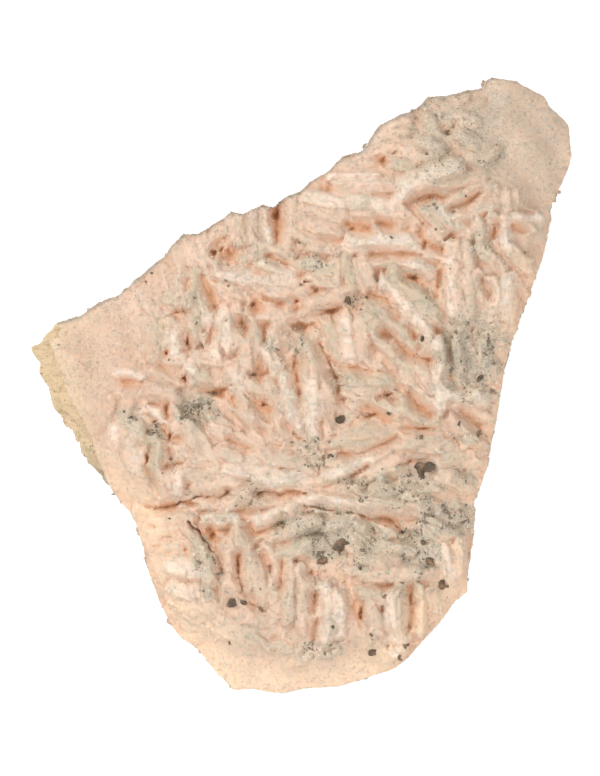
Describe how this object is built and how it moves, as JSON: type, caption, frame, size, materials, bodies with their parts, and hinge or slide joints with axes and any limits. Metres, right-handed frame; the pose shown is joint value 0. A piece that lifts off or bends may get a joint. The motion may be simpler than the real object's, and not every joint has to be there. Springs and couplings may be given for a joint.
{
  "type": "pink dolomite mineral specimen",
  "caption": "Loose slab of pink saddle dolomite: a jumbled crust of blade crystals on cream host rock, with dark sphalerite crystals in pockets; it lies flat on its back.",
  "frame": {"origin": "centre of the footprint at the height of the flat back that the specimen rests on", "axes": "+Z out of the crystal face, +Y towards the pointed top lobe along the specimen's long way, +X to the right seen from above"},
  "size_m": [0.1098, 0.124, 0.0303],
  "materials": {
    "dolomite": "pale pink crystals, satin faces, dusted tan-grey on top, orange-brown in the pits",
    "host_rock": "dull cream broken carbonate rock",
    "sphalerite": "dark brown-grey, resinous and glossy"
  },
  "bodies": {
    "root": {"matrix": "host_rock", "dolomite_crust": "dolomite", "sphalerite_1": "sphalerite", "sphalerite_2": "sphalerite", "sphalerite_3": "sphalerite", "sphalerite_4": "sphalerite", "sphalerite_5": "sphalerite", "sphalerite_6": "sphalerite", "sphalerite_7": "sphalerite", "sphalerite_8": "sphalerite"}
  },
  "joints": []
}
